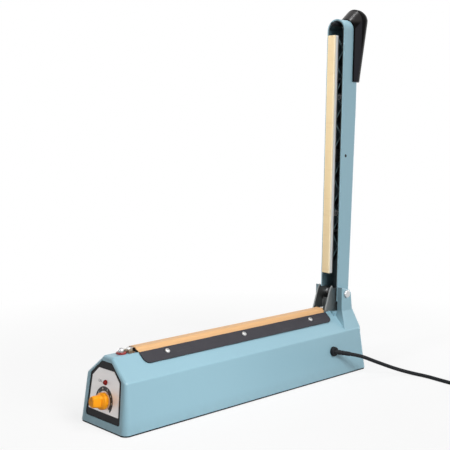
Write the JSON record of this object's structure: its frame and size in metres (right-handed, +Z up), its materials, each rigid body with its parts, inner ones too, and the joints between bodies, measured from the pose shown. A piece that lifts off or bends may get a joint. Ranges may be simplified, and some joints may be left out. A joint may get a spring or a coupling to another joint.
{
  "type": "impulse heat sealer",
  "caption": "Hand impulse bag sealer: sloped cast base with a cloth-covered sealing bed, a hinged press arm with a silicone jaw, timer knob, press button and mains cord.",
  "frame": {"origin": "on the table under the middle of the machine with its arm open, cord left out", "axes": "+Z up, -Y towards the control panel, +Y towards the hinge, +X towards the side where the cord leaves"},
  "size_m": [0.3303, 0.4756, 0.46],
  "materials": {
    "blue_paint": "smooth semi-gloss enamel",
    "black_plate": "black coated sheet",
    "zinc_steel": "bright zinc",
    "chrome": "polished",
    "spring_steel": "oiled spring wire",
    "black_rubber": "matt",
    "black_plastic": "moulded satin",
    "label_silver": "printed satin foil",
    "lamp_red": "tinted lens",
    "knob_orange": "moulded satin",
    "bush_red": "moulded",
    "bar_aluminium": "extruded",
    "fibre_board": "pressed fibre",
    "ribbon_alloy": "rolled strip",
    "cover_cloth": "coated woven glass",
    "terminal_brass": "turned",
    "cream_silicone": "satin",
    "board_green": "coated",
    "component_black": "moulded",
    "core_steel": "varnished laminations",
    "coil_tape": "wound tape",
    "lead_red": "insulated wire"
  },
  "bodies": {
    "base": {"base_housing": "blue_paint", "bottom_plate": "black_plate", "bottom_screws": "zinc_steel", "bracket_screws": "zinc_steel", "button_bush": "bush_red", "button_spring": "spring_steel", "clamp_screws": "zinc_steel", "cord_coil": "black_rubber", "cord_gland": "black_rubber", "cord_tie": "black_plastic", "cover_cloth": "cover_cloth", "front_insulator": "fibre_board", "front_tension_spring": "spring_steel", "heating_ribbon": "ribbon_alloy", "hinge_bracket": "zinc_steel", "hinge_pin": "chrome", "inner_leads": "lead_red", "insulation_strip": "fibre_board", "left_clamp_plate": "black_plate", "lift_spring": "spring_steel", "microswitch": "black_plastic", "panel_bezel": "black_plastic", "panel_label": "label_silver", "pin_clip": "zinc_steel", "plug_body": "black_rubber", "plug_pins": "terminal_brass", "potentiometer": "bar_aluminium", "potentiometer_nut": "zinc_steel", "power_cord": "black_rubber", "power_lamp": "lamp_red", "rear_insulator": "fibre_board", "rear_tension_spring": "spring_steel", "right_clamp_plate": "black_plate", "rubber_feet": "black_rubber", "seal_bar": "bar_aluminium", "switch_screws": "zinc_steel", "timer_board": "board_green", "timer_components": "component_black", "transformer_coil": "coil_tape", "transformer_core": "core_steel", "transformer_nuts": "zinc_steel", "transformer_strap": "black_plate"},
    "arm": {"press_arm": "blue_paint", "arm_bushes": "terminal_brass", "pivot_pin": "zinc_steel", "striker_stud": "black_plastic", "arm_handle": "black_plastic", "handle_screws": "zinc_steel", "balance_springs": "spring_steel"},
    "pressure_bar": {"pressure_bar": "bar_aluminium", "silicone_strip": "cream_silicone"},
    "knob": {"timer_knob": "knob_orange", "timer_shaft": "zinc_steel"},
    "button": {"press_button": "chrome", "button_clip": "zinc_steel"},
    "lever": {"switch_lever": "terminal_brass"},
    "front_terminal": {"front_terminal": "terminal_brass", "front_terminal_screw": "zinc_steel"},
    "rear_terminal": {"rear_terminal": "terminal_brass", "rear_terminal_screw": "zinc_steel"}
  },
  "joints": [
    {"name": "arm_hinge", "type": "hinge", "parent": "base", "child": "arm", "pos_m": [0, 0.1644, 0.09858], "axis": [1, 0, 0], "range_deg": [0, 91.2], "stiffness_Nm_per_rad": 0.6, "springref_deg": -28.65, "deforming": ["lift_spring"]},
    {"name": "bar_rock", "type": "hinge", "parent": "arm", "child": "pressure_bar", "pos_m": [0, 0.16909, 0.27452], "axis": [1, 0, 0], "range_deg": [-0.3, 0.3], "stiffness_Nm_per_rad": 20, "deforming": ["balance_springs"]},
    {"name": "knob_turn", "type": "hinge", "parent": "base", "child": "knob", "pos_m": [0, -0.1991, 0.02989], "axis": [0, -0.9925, 0.1219], "range_deg": [-131, 131]},
    {"name": "button_press", "type": "slide", "parent": "base", "child": "button", "axis": [0, 0, -1], "range_m": [0, 0.002], "stiffness_N_per_m": 400, "springref_m": -0.003, "deforming": ["button_spring"]},
    {"name": "lever_swing", "type": "hinge", "parent": "base", "child": "lever", "pos_m": [0, -0.1636, 0.0599], "axis": [1, 0, 0], "range_deg": [0, 10.5]},
    {"name": "front_terminal_slide", "type": "slide", "parent": "base", "child": "front_terminal", "axis": [0, -1, 0], "range_m": [0, 0.0012], "stiffness_N_per_m": 1500, "deforming": ["front_tension_spring", "heating_ribbon"]},
    {"name": "rear_terminal_slide", "type": "slide", "parent": "base", "child": "rear_terminal", "axis": [0, 1, 0], "range_m": [0, 0.0012], "stiffness_N_per_m": 1500, "deforming": ["rear_tension_spring", "heating_ribbon"]}
  ],
  "couplings": [
    {"joint": "lever_swing", "follows": "button_press", "rad_per_m": 90}
  ]
}
